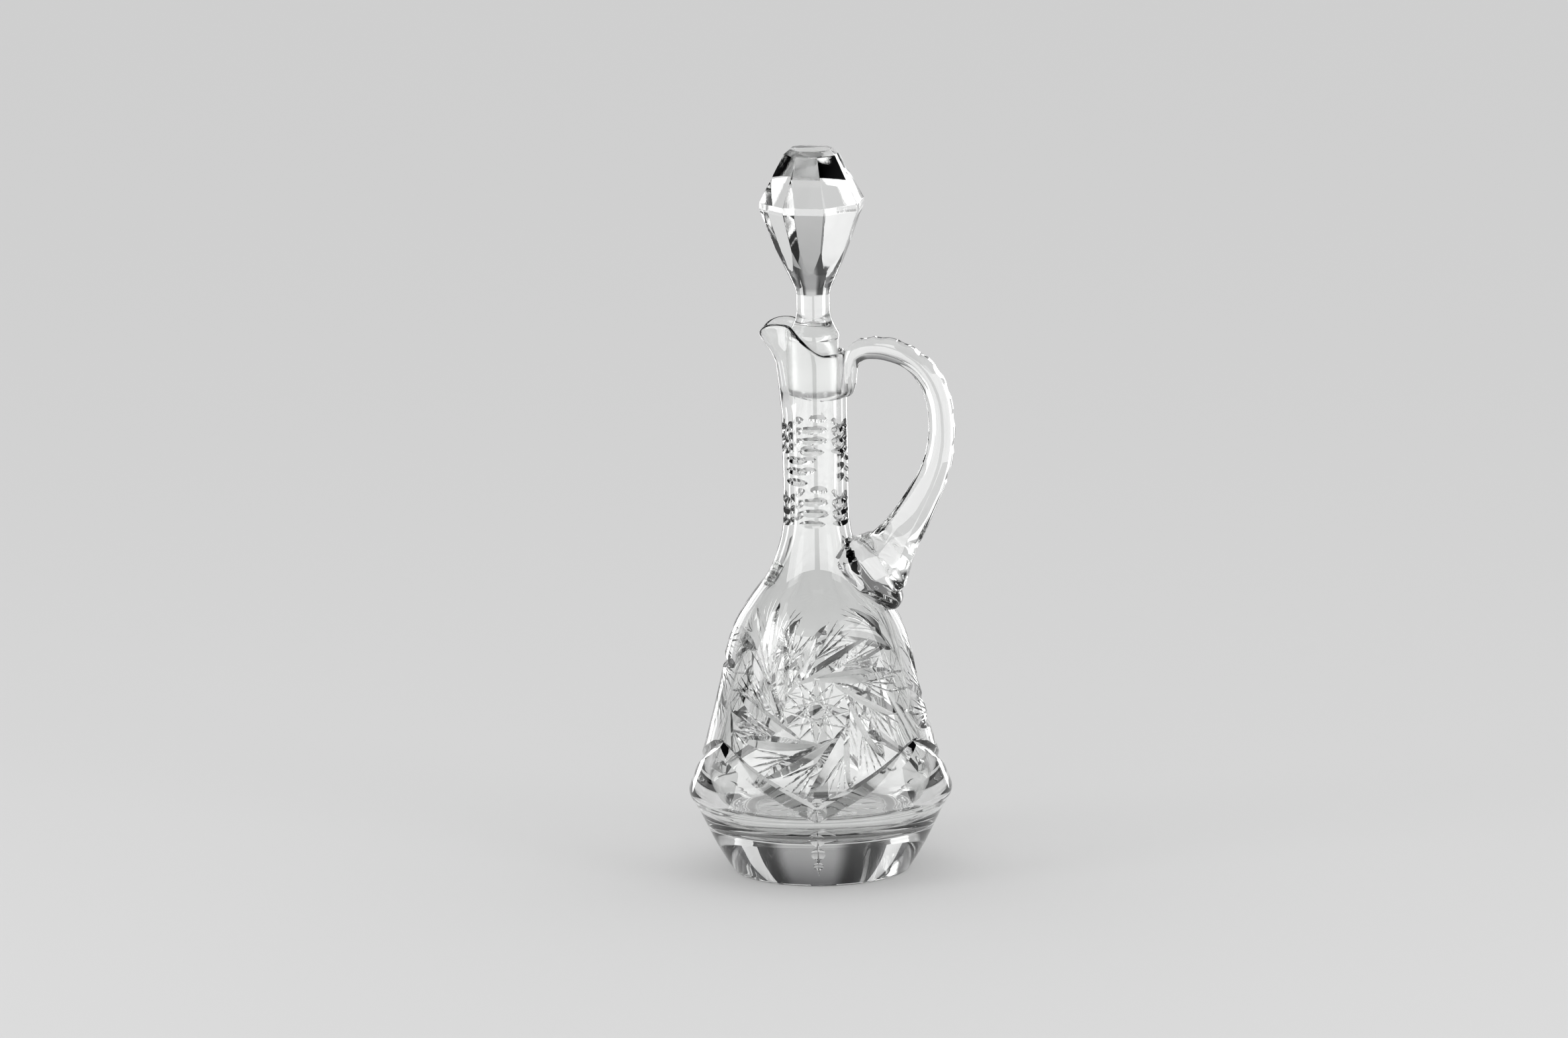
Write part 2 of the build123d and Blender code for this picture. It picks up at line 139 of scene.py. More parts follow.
# %% [markdown]
# The slots of every piece hold the same four finishes, in this order: fire-polished glass, wheel-cut
# glass, the satin seat that is ground for the plug, and the worn ring that the foot stands on. They
# get their nodes further down; a Boolean carries each face's slot number through the cuts.

# %% Finish slots
POLISHED, CUT, GROUND, FOOT = range(4)
for title in ("polished_glass", "wheel_cut_glass", "ground_seat_glass", "worn_foot_glass"):
    finish = bpy.data.materials.new(title)
    finish.use_nodes = True
    finishes.append(finish)
print("finishes:", [f.name for f in finishes])

# %% [markdown]
# ## The vessel
# The body is turned, so its wall is one closed outline from the middle of the underside, up the
# outside, over the fire-polished rim, down the bore and out to the middle of the floor. Spinning it
# gives outside and inside at once, with the true thickness between them, which is what makes the
# glass look heavy at the base and light at the neck.

# %% The wall's outline
WALL_STEPS = 4
RIM_POINTS = 5
NECK_RADIUS = 15.6
RIM_HEIGHT = 252.0
OUTSIDE = [
    (0, 1.0), (33.6, 1.0), (34.6, 0.75), (35.3, 0.12), (36.2, 0.0), (41.4, 0.0), (42.3, 0.3),
    (42.9, 1.2), (47.0, 7.6), (51.3, 15.2), (55.2, 23.2), (59.0, 30.9), (61.3, 34.8),
    (62.6, 37.0), (62.93, 38.9), (62.4, 41.2), (60.0, 47.4), (56.7, 56.0), (51.2, 76.0),
    (46.6, 95.0), (43.4, 110.5), (39.0, 122.0), (32.0, 133.0), (23.6, 145.0), (18.3, 157.5),
    (16.0, 168.5), (15.6, 178.0), (15.6, 222.0), (15.6, 236.0), (15.6, 249.9), (15.3, 251.2),
    (14.5, 251.9), (13.5, 251.95), (12.6, 251.3), (12.03, 249.9),
]
INSIDE = [
    (11.5, 240.0), (11.02, 230.1), (10.6, 229.5), (10.6, 222.0), (10.6, 200.0), (10.6, 172.0),
    (13.1, 157.5), (18.5, 145.0), (26.9, 133.0), (33.8, 122.0), (38.1, 110.5), (41.3, 95.0),
    (45.9, 76.0), (51.2, 56.0), (54.1, 44.0), (53.2, 34.5), (47.5, 27.0), (37.6, 24.2),
    (25.0, 24.0), (0, 24.0),
]
outline = OUTSIDE + INSIDE
square = [i for i, p in enumerate(outline) if p in ((0, 1.0), (33.6, 1.0), (36.2, 0.0), (41.4, 0.0),
          (15.6, 178.0), (15.6, 222.0), (15.6, 236.0), (12.03, 249.9), (11.02, 230.1), (10.6, 229.5),
          (10.6, 222.0), (10.6, 200.0), (25.0, 24.0), (0, 24.0))]
wall_line = smooth_line(outline, WALL_STEPS, square)
print("wall outline:", len(wall_line), "points, widest", round(max(p.x for p in wall_line), 2))


def outer_radius(height):
    """Outer radius of the body at a height, read off its outline below the rim."""
    side = wall_line[:(len(OUTSIDE) - RIM_POINTS) * WALL_STEPS]
    for one, two in zip(side, side[1:]):
        if one.z <= height <= two.z and two.z > one.z:
            return one.x + (two.x - one.x) * (height - one.z) / (two.z - one.z)
    return NECK_RADIUS


# %% [markdown]
# A glassmaker turns the blown shape against a block, so every level section is round. A Screw
# modifier would turn the outline too, but the spin operator gives a mesh that can be worked on at
# once.

# %% Spin the wall
TURNS = 240
vessel_bm = outline_mesh(wall_line)
turn_round(vessel_bm, TURNS)
print("spun wall:", len(vessel_bm.verts), "points,", len(vessel_bm.faces), "faces")

# %% [markdown]
# The pouring lip is drawn out of the hot rim with a tool, so it is not a separate part: the turned
# neck itself is pulled. Moving the spun points does the same. The rim rises away from the handle,
# dips again in the lip's channel, and the wall is drawn outwards, more and more towards the rim.

# %% Draw the lip
LIP_START_HEIGHT = 219.0
RIM_RISE_START = 222.0
LIP_REACH = 10.1
LIP_HALF_ANGLE = 50.0
CREST_RISE = 14.7
CHANNEL_DIP = 6.2
CHANNEL_ANGLE = 16.0
RISE_TURNS = (58, 148)
WINDOW_SHARE = 0.88
EVEN_DRAW, LATE_DRAW = 0.4, 0.6
LATE_DRAW_START, LATE_DRAW_END = 0.66, 0.98
FLARE, FLARE_START, FLARE_TURNS = 0.7, 0.9, (70, 150)
THINNER_LIP = 0.7
INNER_FACE_RADIUS = 13.5
SEAT_TAPER = tan(radians(2.6))


def rim_height(turn):
    """Height of the rim at a turn in degrees from the handle's side."""
    rise = CREST_RISE * share_between(*RISE_TURNS, turn)
    return RIM_HEIGHT + rise - CHANNEL_DIP * exp(-((turn - 180) / CHANNEL_ANGLE) ** 2)


for v in vessel_bm.verts:
    if v.co.z > LIP_START_HEIGHT:
        radius = hypot(v.co.x, v.co.y)
        turn = abs(degrees(atan2(v.co.y, v.co.x)))
        inside = radius < INNER_FACE_RADIUS
        top = rim_height(turn)
        lift = (top - RIM_HEIGHT) * share_between(RIM_RISE_START, RIM_HEIGHT, v.co.z)
        height = v.co.z + lift
        t = min((height - LIP_START_HEIGHT) / (top - LIP_START_HEIGHT), 1.02)
        window = share_between(0, WINDOW_SHARE, 1 - (180 - turn) / LIP_HALF_ANGLE)
        late = share_between(LATE_DRAW_START, LATE_DRAW_END, t)
        drawn = LIP_REACH * window * (EVEN_DRAW * t + LATE_DRAW * late)
        flare = FLARE * share_between(FLARE_START, 1.0, t) * share_between(*FLARE_TURNS, turn)
        wider = radius + drawn + flare + (lift * SEAT_TAPER + THINNER_LIP * window * t if inside else 0)
        v.co = (v.co.x * wider / radius, v.co.y * wider / radius, height)
print("lip: tip at", round(min(v.co.x for v in vessel_bm.verts if v.co.z > 240), 1),
      "crest at", round(max(v.co.z for v in vessel_bm.verts), 1))

# %% [markdown]
# The neck is ground inside, where the plug seats, and the foot is worn by every table it stood on.
# Weights or a painted mask could mark those places. Here each face is given its slot by where it
# lies, because both places have edges that are easy to say in numbers.

# %% Give the wall its finishes
SEAT_LOW, SEAT_HIGH = 230.0, 259.0
SEAT_FOOT_HEIGHT, SEAT_FOOT_RADIUS, SEAT_MARGIN = 229.9, 10.99, 0.15
WORN_HEIGHT, WORN_RADIUS = 0.6, 34.8
for face in vessel_bm.faces:
    middle = face.calc_center_median()
    radius = hypot(middle.x, middle.y)
    face.smooth = True
    seat_radius = SEAT_FOOT_RADIUS + (middle.z - SEAT_FOOT_HEIGHT) * SEAT_TAPER + SEAT_MARGIN
    if SEAT_LOW < middle.z < SEAT_HIGH and radius < seat_radius:
        face.material_index = GROUND
    elif middle.z < WORN_HEIGHT and radius > WORN_RADIUS:
        face.material_index = FOOT
vessel = shape_object(vessel_bm, "decanter_glass")
print("wall:", len(vessel.data.polygons), "faces")

# %% [markdown]
# ## The handle
# The handle is a rod of hot glass that was pressed to eight panels, stuck to the shoulder as a wide
# pad, pulled up and over, and curled on to the neck. A Bezier curve with a bevel would give one
# section all along, but the real one thins and turns flat. So a small ring is extruded along the
# rod, and each copy is placed between two smooth lines: the side by the neck and the side away.

# %% The handle's two sides
HANDLE_STEPS = 5
# Each station: out and up of the side by the neck, the same of the side away, share of the width.
HANDLE_STATIONS = [
    (14.2, 229.5, 13.2, 230.2, 0.30), (17.8, 231.0, 15.1, 231.7, 0.42), (19.9, 235.0, 14.8, 236.0, 0.68),
    (20.9, 241.4, 14.6, 243.6, 0.84), (21.9, 245.8, 15.9, 253.2, 0.94), (24.0, 248.0, 21.2, 257.6, 1.0),
    (29.2, 248.8, 28.3, 259.2, 1.0), (36.7, 247.6, 38.9, 258.2, 1.0), (43.9, 244.6, 50.1, 253.0, 1.0),
    (49.3, 239.0, 58.4, 245.7, 1.0), (53.3, 230.3, 64.6, 234.2, 1.0), (54.9, 218.0, 67.3, 217.0, 1.0),
    (53.6, 205.7, 66.1, 200.6, 1.0), (50.4, 196.4, 62.4, 187.6, 1.02), (45.4, 187.6, 57.4, 175.7, 1.06),
    (40.4, 180.0, 52.3, 164.4, 1.16), (35.4, 173.2, 47.6, 154.8, 1.38), (30.8, 168.0, 44.6, 146.2, 1.74),
    (26.6, 164.0, 42.7, 139.0, 2.16),
]
near_line = smooth_line([s[0:2] for s in HANDLE_STATIONS], HANDLE_STEPS)
far_line = smooth_line([s[2:4] for s in HANDLE_STATIONS], HANDLE_STEPS)
width_line = smooth_line([(i, s[4]) for i, s in enumerate(HANDLE_STATIONS)], HANDLE_STEPS)
# Each ring of the pad: heights of its top and foot, how far those stand proud of the shoulder, and
# share of the pad's width.
PAD_RINGS = [
    (163.4, 136.0, 7.6, 10.4, 0.92), (162.4, 131.8, 5.2, 8.2, 0.99), (161.8, 129.2, 3.2, 5.6, 1.03),
    (161.4, 127.9, 1.5, 2.8, 1.035), (161.4, 127.7, 0.0, 0.2, 1.01), (162.0, 129.6, -2.2, -2.2, 0.94),
]
pad_heights = smooth_line([r[0:2] for r in PAD_RINGS], HANDLE_STEPS)
pad_proud = smooth_line([r[2:4] for r in PAD_RINGS], HANDLE_STEPS)
pad_width = smooth_line([(i, r[4]) for i, r in enumerate(PAD_RINGS)], HANDLE_STEPS)
PAD_HALF_WIDTH = 16.4
print("handle:", len(near_line), "stations and", len(pad_width), "pad rings")

# %% [markdown]
# Pressing gives the rod eight flat panels whose corners melt a little soft again. A Skin modifier or
# a lofted surface could follow the rod, but would round the panels away. So a ring of points is
# extruded from station to station, with three points round each soft corner.

# %% Extrude the rod
HALF_WIDTH = 6.2
PANELS = 8
CORNER_POINTS = 3
SOFT_EDGE = 0.16
CORNER_SPREAD = 1.4
LEAST_REACH = 5.0


def panel_reach(step):
    """Turn and reach of a point of the eight-sided section: three points round each soft corner."""
    corner, part = divmod(step, CORNER_POINTS)
    half = pi / PANELS
    turn = (2 * corner + 1) * half + (part - 1) * half * SOFT_EDGE * CORNER_SPREAD
    flat = 1 / cos(half * (1 - SOFT_EDGE))
    side = cos(half * (1 - SOFT_EDGE)) / cos(half * (1 - SOFT_EDGE * CORNER_SPREAD))
    return turn, flat * (1.0 if part == 1 else side)


handle_bm = bmesh.new()
ring_points = PANELS * CORNER_POINTS
ring = bmesh.ops.create_circle(handle_bm, segments=ring_points, radius=1, cap_ends=False)["verts"]
section = [panel_reach(step) for step in range(ring_points)]


def place_ring(ring, near, far, half_width):
    """Moves a ring of points to the section between two points, this wide."""
    middle, across = (near + far) / 2, (far - near) / 2
    for v, (turn, reach) in zip(ring, section):
        v.co = middle + across * reach * cos(turn) + Vector((0, half_width * reach * sin(turn), 0))


def extrude_ring(bm, ring):
    """Extrudes a ring of points and gives the new ring, in the same order."""
    count = len(ring)
    edges = [bm.edges.get((ring[i], ring[(i + 1) % count])) for i in range(count)]
    made = bmesh.ops.extrude_edge_only(bm, edges=edges)["geom"]
    new = {v for v in made if isinstance(v, bmesh.types.BMVert)}
    return [next(e.other_vert(v) for e in v.link_edges if e.other_vert(v) in new) for v in ring]


bmesh.ops.contextual_create(handle_bm, geom=handle_bm.edges[:])
place_ring(ring, near_line[0], far_line[0], HALF_WIDTH * width_line[0].z)
for near, far, width in zip(near_line[1:], far_line[1:], width_line[1:]):
    ring = extrude_ring(handle_bm, ring)
    place_ring(ring, near, far, HALF_WIDTH * width.z)
for heights, proud, width in zip(pad_heights, pad_proud, pad_width):
    ring = extrude_ring(handle_bm, ring)
    near, far = Vector((0, 0, heights.x)), Vector((0, 0, heights.z))
    place_ring(ring, near, far, PAD_HALF_WIDTH * width.z)
    for v in ring:
        down = (heights.x - v.co.z) / (heights.x - heights.z)
        radius = outer_radius(v.co.z) + proud.x + (proud.z - proud.x) * down
        v.co.x = sqrt(max(radius ** 2 - v.co.y ** 2, LEAST_REACH ** 2))
bmesh.ops.contextual_create(handle_bm, geom=[e for e in handle_bm.edges if e.is_boundary])
bmesh.ops.recalc_face_normals(handle_bm, faces=handle_bm.faces[:])
for face in handle_bm.faces:
    face.smooth = len(face.verts) == 4
handle_reach = max(v.co.x for v in handle_bm.verts)
print("handle rod:", len(handle_bm.verts), "points, reach", round(handle_reach, 2))
handle = shape_object(handle_bm, "handle_rod")

# %% [markdown]
# A wheel cut splits the smooth faces round it, and their shading would wobble. A Data Transfer
# modifier could bring normals back from an uncut copy, but not face by face. So the uncut meshes are
# kept as trees that can be asked for the nearest face, and the normals are set from them at the end.

# %% Keep the uncut shapes for their smooth normals
def smooth_donor(piece):
    """Tree of a piece's triangles, with their corners and the normals there."""
    bm = bmesh.new()
    bm.from_mesh(piece.data)
    bmesh.ops.triangulate(bm, faces=bm.faces[:])
    bm.normal_update()
    tree = BVHTree.FromBMesh(bm)
    corners = [[(v.co.copy(), v.normal.copy()) for v in f.verts] for f in bm.faces]
    flats = [not f.smooth for f in bm.faces]
    bm.free()
    return tree, corners, flats


donors = [smooth_donor(vessel), smooth_donor(handle)]
print("kept", [len(d[1]) for d in donors], "uncut triangles")

# %% [markdown]
# A row of shallow scallops is cut along the outer side of the bend, so that a thumb doesn't slip.
# Then handle and body become one mesh. Hot glass flows together, and a surface left between them
# would bend the light where the real glass does not.

# %% Join the handle to the body
SCALLOPS = 9
SCALLOP_RADIUS = 10.5
SCALLOP_DEPTH = 0.95
SCALLOP_LENGTH = 30
FIRST_STATION, LAST_STATION = 5, 13
UPWARD_SHARE = 0.4
edge_line = far_line[FIRST_STATION * HANDLE_STEPS:LAST_STATION * HANDLE_STEPS + 1]
for i in range(SCALLOPS):
    at = round((i + 0.5) / SCALLOPS * (len(edge_line) - 2)) + 1
    along = (edge_line[min(at + 1, len(edge_line) - 1)] - edge_line[at - 1]).normalized()
    out = Vector((-along.z, 0, along.x))
    out = out if out.x + UPWARD_SHARE * out.z > 0 else -out
    wheel = bmesh.new()
    bmesh.ops.create_cone(wheel, cap_ends=True, segments=96, radius1=SCALLOP_RADIUS,
                          radius2=SCALLOP_RADIUS, depth=SCALLOP_LENGTH,
                          matrix=Matrix.Rotation(pi / 2, 4, "X"))
    centre = edge_line[at] + out * (SCALLOP_RADIUS - SCALLOP_DEPTH)
    bmesh.ops.translate(wheel, verts=wheel.verts[:], vec=centre)
    for face in wheel.faces:
        face.material_index = CUT
        face.smooth = len(face.verts) == 4
    combine(handle, shape_object(wheel, "scallop_wheel"), "DIFFERENCE")
glass = combine(vessel, handle, "UNION")
print("decanter glass, uncut:", len(glass.data.polygons), "faces")

# %% [markdown]
# ## The wheel cuts
# A mitre wheel leaves a groove with two flat flanks and pointed ends. Bump in a material could
# fake it, but a groove that light really passes through is what makes cut glass sparkle. The
# shape a wheel takes away is a slim boat: a sphere of four segments, pulled long. Boats are drawn
# flat, as on the cutter's paper pattern, and then wrapped round the body.

# %% A boat, and the wrap round the body
def boat(bm, start, end, width, depth, push=0.0, rings=14, sink=0.3):
    """Adds a pointed groove's tool between two points of the flat pattern, and gives its points.

    push moves its widest part towards the end. sink is the share of its size by which its middle
    stands out of the glass.
    """
    made = bmesh.ops.create_uvsphere(bm, u_segments=4, v_segments=rings, radius=1)["verts"]
    start, end = Vector(start), Vector(end)
    middle, along = (start + end) / 2, (end - start) / 2
    side = Vector((-along.y, along.x)).normalized()
    stretch = 1 / sqrt(1 - sink ** 2)
    for v in made:
        t, across, deep = v.co.z, v.co.x, v.co.y
        t = (t + push * (1 - t * t)) * stretch
        level = middle + along * t + side * across * width / 2 / (1 - sink)
        v.co = (level.x, level.y, (deep + sink * 0.999) * depth / (1 - sink))
    return made


def wrap(points, turn, height, lean=1.0, stretch=1.08):
    """Wraps points of a flat pattern round the body: x runs round it, y up it and z outwards."""
    for v in points:
        z = height + v.co.y * lean
        base = outer_radius(z)
        angle = radians(turn) + v.co.x * stretch / base
        radius = base + v.co.z
        v.co = (radius * cos(angle), radius * sin(angle), z)


def wheel_tool(bm, name):
    """Object of a tool that leaves the wheel-cut finish. Its faces have to point outwards."""
    bmesh.ops.recalc_face_normals(bm, faces=bm.faces[:])
    if bm.calc_volume(signed=True) < 0:
        bmesh.ops.reverse_faces(bm, faces=bm.faces[:])
    for face in bm.faces:
        face.material_index = CUT
        face.smooth = False
    return shape_object(bm, name)


# %% [markdown]
# The pinwheel stands three times round the body. Twelve leaf-shaped blades lie along lines that
# just touch an inner circle, so that the wheel seems to turn. A fan of fine lines opens beside each
# blade, and the middle is crossed by twelve chords that leave a small star.

# %% Pinwheel pattern
PINWHEEL_TURNS = (-82.0, 38.0, 158.0)
PINWHEEL_HEIGHT = 87.0
BLADES = 12
TIP_RADIUS, INNER_RADIUS, CHORD_RADIUS = 39.4, 15.3, 15.8
FIRST_TIP = 23.0
FAN_LINES = ((-1.5, 41.5), (-6.5, 42.5), (-11.5, 41.5), (-16, 38.5), (-20, 35.0))
FAN_APEX_RADIUS, FAN_APEX_TURN = 23.5, 10.0
CHORD_STEP, CHORD_TURN = 5, 6
# Width and depth of each kind of cut.
BLADE_WIDTH, BLADE_DEPTH, BLADE_PUSH, BLADE_OVERRUN = 6.6, 2.5, 0.16, 0.06
FAN_WIDTH, FAN_DEPTH = 1.0, 0.45
CHORD_WIDTH, CHORD_DEPTH = 1.5, 0.62


def polar(radius, turn):
    """Point of the flat pattern at a radius and a turn in degrees."""
    return Vector((radius * cos(radians(turn)), radius * sin(radians(turn))))


def pinwheel_layer(layer, draw):
    """One layer of cuts, on all three pinwheels, taken from the glass."""
    bm = bmesh.new()
    for turn in PINWHEEL_TURNS:
        for blade in range(BLADES):
            made = draw(bm, blade)
            if made:
                wrap(made, turn, PINWHEEL_HEIGHT)
    combine(glass, wheel_tool(bm, layer), "DIFFERENCE")


def draw_blades(third):
    """Every third blade, so that the tools of one layer don't cross."""
    def draw(bm, blade):
        if blade % 3 != third:
            return None
        tip_turn = FIRST_TIP + blade * 360 / BLADES
        half = sqrt(TIP_RADIUS ** 2 - INNER_RADIUS ** 2)
        touch = polar(INNER_RADIUS, tip_turn + degrees(atan2(half, INNER_RADIUS)))
        tip = polar(TIP_RADIUS, tip_turn)
        root = touch + (touch - tip) * BLADE_OVERRUN
        return boat(bm, root, tip, BLADE_WIDTH, BLADE_DEPTH, push=BLADE_PUSH)
    return draw


def draw_fan(line):
    """One line of the fan beside every blade."""
    def draw(bm, blade):
        tip_turn = FIRST_TIP + blade * 360 / BLADES
        offset, reach = FAN_LINES[line]
        apex = polar(FAN_APEX_RADIUS, tip_turn + FAN_APEX_TURN)
        return boat(bm, apex, polar(reach, tip_turn + offset), FAN_WIDTH, FAN_DEPTH, rings=10)
    return draw


def draw_chord(chord):
    """One chord across the middle."""
    def draw(bm, blade):
        if blade != chord:
            return None
        turn = FIRST_TIP + CHORD_TURN + blade * 360 / BLADES
        end = polar(CHORD_RADIUS, turn + CHORD_STEP * 360 / BLADES)
        return boat(bm, polar(CHORD_RADIUS, turn), end, CHORD_WIDTH, CHORD_DEPTH, rings=12)
    return draw


for third in range(3):
    pinwheel_layer("blade_wheel", draw_blades(third))
for line in range(len(FAN_LINES)):
    pinwheel_layer("fan_wheel", draw_fan(line))
for chord in range(BLADES):
    pinwheel_layer("chord_wheel", draw_chord(chord))
print("after the pinwheels:", len(glass.data.polygons), "faces")

# %% [markdown]
# Under the pinwheels hangs a garland: from each low point a long groove rises both ways and meets
# its neighbour. Its keel lies near its upper edge, so one flank is a narrow bright line and the
# other a wide one. The groove could be drawn as boats too, but it is far too long and bent for one,
# so its tool is a bar of three sides that is bent in small steps. Where the ring bulges, at the low
# points, the tool's outer side lies inside the glass, and a thin loose shell is left over the cut.

# %% Garland
GARLAND_LOW, GARLAND_HIGH = 40.0, 66.5
GARLAND_WIDTH, GARLAND_DEPTH, KEEL_SHARE = 7.6, 2.1, 0.32
GARLAND_STEPS = 100
ARM_TURN = 60
ARM_START, ARM_RUN, ARM_CURVE = -0.035, 1.07, 0.94
TAPER_END, TAPER_LENGTH, TAPER_CURVE = 1.05, 0.22, 0.6
OUTER_SHARE, OUTER_PROUD = 0.72, 1.05


def garland_tool(arm, turn):
    """Tool for one arm: a bar of three sides, cut into short steps and bent along the garland."""
    bm = bmesh.new()
    bmesh.ops.create_cone(bm, cap_ends=True, segments=3, radius1=1, radius2=1, depth=2)
    long_edges = [e for e in bm.edges if abs(e.verts[0].co.z - e.verts[1].co.z) > 1]
    bmesh.ops.subdivide_edges(bm, edges=long_edges, cuts=GARLAND_STEPS)
    for v in bm.verts:
        t = (v.co.z + 1) / 2
        run = ARM_START + ARM_RUN * t
        taper = min(1.0, (TAPER_END - t) / TAPER_LENGTH) ** TAPER_CURVE
        middle = GARLAND_LOW + (GARLAND_HIGH - GARLAND_LOW) * abs(run) ** ARM_CURVE
        if abs(v.co.x) < 0.1:
            across, deep = (0.5 - KEEL_SHARE) * GARLAND_WIDTH * taper, -GARLAND_DEPTH * taper
        else:
            side = OUTER_SHARE if v.co.x > 0 else -OUTER_SHARE
            across, deep = side * GARLAND_WIDTH * taper, OUTER_PROUD
        z = middle + across
        angle = radians(turn + arm * ARM_TURN * run)
        radius = outer_radius(z) + deep
        v.co = (radius * cos(angle), radius * sin(angle), z)
    return wheel_tool(bm, "garland_wheel")


for turn in PINWHEEL_TURNS:
    for arm in (-1, 1):
        combine(glass, garland_tool(arm, turn), "DIFFERENCE")
print("after the garland:", len(glass.data.polygons), "faces")

# %% [markdown]
# From each low point of the garland a column of round hollows, joined by one upright line, runs to
# the foot. A round-edged wheel leaves each hollow, and the ball that fits it takes the same glass
# away.

# %% Round hollows and upright lines
BEADS = ((44.8, 2.7), (39.2, 3.3), (25.9, 3.65), (18.3, 3.65), (11.6, 2.5))
BEAD_DEPTH = 1.15
UPRIGHT_LOW, UPRIGHT_HIGH, UPRIGHT_MIDDLE = 5.5, 31.5, 25.0
UPRIGHT_WIDTH, UPRIGHT_DEPTH = 1.3, 1.7


def bead_tool(turn, height, size):
    """Ball that leaves a round hollow of this radius."""
    bm = bmesh.new()
    ball = (size ** 2 + BEAD_DEPTH ** 2) / (2 * BEAD_DEPTH)
    bmesh.ops.create_icosphere(bm, subdivisions=5, radius=ball)
    slope = outer_radius(height + 2) - outer_radius(height - 2)
    face_out = Vector((4, 0, -slope)).normalized()
    centre = Vector((outer_radius(height), 0, height)) + face_out * (ball - BEAD_DEPTH)
    centre.rotate(Matrix.Rotation(radians(turn), 3, "Z"))
    bmesh.ops.translate(bm, verts=bm.verts[:], vec=centre)
    tool = wheel_tool(bm, "bead_wheel")
    tool.data.shade_smooth()
    return tool


for turn in PINWHEEL_TURNS:
    for height, size in BEADS:
        combine(glass, bead_tool(turn, height, size), "DIFFERENCE")
upright = bmesh.new()
for turn in PINWHEEL_TURNS:
    low, high = (0, UPRIGHT_LOW - UPRIGHT_MIDDLE), (0, UPRIGHT_HIGH - UPRIGHT_MIDDLE)
    wrap(boat(upright, low, high, UPRIGHT_WIDTH, UPRIGHT_DEPTH, rings=24), turn, UPRIGHT_MIDDLE)
combine(glass, wheel_tool(upright, "upright_wheel"), "DIFFERENCE")
print("after the round hollows:", len(glass.data.polygons), "faces")

# %% [markdown]
# Short level notches go round the neck in threes, and one group lies on the left shoulder, where it
# stands closer. Each is one boat laid level. The three of a group are cut in turn, so that no tool
# holds notches that touch.

# %% Notches
# Turn round the neck and height of the middle of each group.
NOTCH_GROUPS = [(-88.0 + 60 * i, height) for i in range(6) for height in (211.0, 176.0)]
NOTCH_GROUPS += [(-118.0 + 120 * i, 196.0) for i in range(3)] + [(-148.0, 146.0)]
NOTCH_SPACING, NOTCH_HALF_WIDTH = 5.3, 6.5
NOTCH_WIDTH, NOTCH_DEPTH = 3.9, 1.7
SHOULDER_TOP, SHOULDER_SPACING = 160, 0.72
for step in (-1, 0, 1):
    notches = bmesh.new()
    for turn, height in NOTCH_GROUPS:
        z = height + step * NOTCH_SPACING * (SHOULDER_SPACING if height < SHOULDER_TOP else 1)
        left, right = (-NOTCH_HALF_WIDTH, 0), (NOTCH_HALF_WIDTH, 0)
        wrap(boat(notches, left, right, NOTCH_WIDTH, NOTCH_DEPTH, rings=20), turn, z, stretch=1.0)
    combine(glass, wheel_tool(notches, "notch_wheel"), "DIFFERENCE")
print("after the notches:", len(glass.data.polygons), "faces")

# %% [markdown]
# The underside is ground hollow and cut with a star, which shows through the thick base. Its rays
# are long boats across the middle, two rays to a boat, turned over so that they cut upwards.

# %% Star in the underside
STAR_RAYS, STAR_RADIUS, STAR_WIDTH, STAR_DEPTH = 16, 34.0, 7.0, 2.1
RECESS_HEIGHT = 1.0
for ray in range(STAR_RAYS // 2):
    star = bmesh.new()
    turn = ray * 360 / STAR_RAYS
    start, end = polar(STAR_RADIUS, turn), polar(STAR_RADIUS, turn + 180)
    for v in boat(star, start, end, STAR_WIDTH, STAR_DEPTH, rings=16, sink=0.2):
        v.co.z = RECESS_HEIGHT - v.co.z
    combine(glass, wheel_tool(star, "star_wheel"), "DIFFERENCE")
print("with the star:", len(glass.data.polygons), "faces")

# %% [markdown]
# Between the cuts, the glass should shade as if it had never been cut. Automatic normals would
# average the flanks in, so every corner of an uncut face is given the normal of the uncut shape at
# its place. Corners of cut faces keep the automatic ones, which stay flat across sharp edges.

# %% Smooth normals between the cuts
SHARP_ANGLE = radians(24)
NEAR = 0.03
SAME_WAY = 0.9


def normal_near(point, face_normal):
    """Normal of the uncut shape at a point, or None where the face isn't part of it."""
    for tree, corners, flats in donors:
        found, normal, index, gap = tree.find_nearest(point, NEAR * 2)
        if found is not None and gap < NEAR and normal.dot(face_normal) > SAME_WAY:
            if flats[index]:
                return normal
            (a, na), (b, nb), (c, nc) = corners[index]
            return barycentric_transform(found, a, b, c, na, nb, nc).normalized()
    return None


def settle_normals(piece):
    """Marks sharp edges and sets the normals of the uncut faces."""
    mesh = piece.data
    mesh.shade_smooth()
    mesh.set_sharp_from_angle(angle=SHARP_ANGLE)
    normals = [Vector((0, 0, 0))] * len(mesh.loops)
    kept = 0
    for face in mesh.polygons:
        if face.material_index == CUT:
            continue
        for loop in face.loop_indices:
            point = mesh.vertices[mesh.loops[loop].vertex_index].co
            found = normal_near(point, face.normal)
            if found is not None:
                normals[loop] = found
                kept += 1
    mesh.normals_split_custom_set(normals)
    return kept


print("normals taken from the uncut shape:", settle_normals(glass), "of", len(glass.data.loops))

# %% [markdown]
# ## The stopper
# Plug, collar, stem and head are one lump of glass. The plug and stem are turned, so they are spun
# like the wall. The ground part of the plug is told by its height and radius, as in the neck.

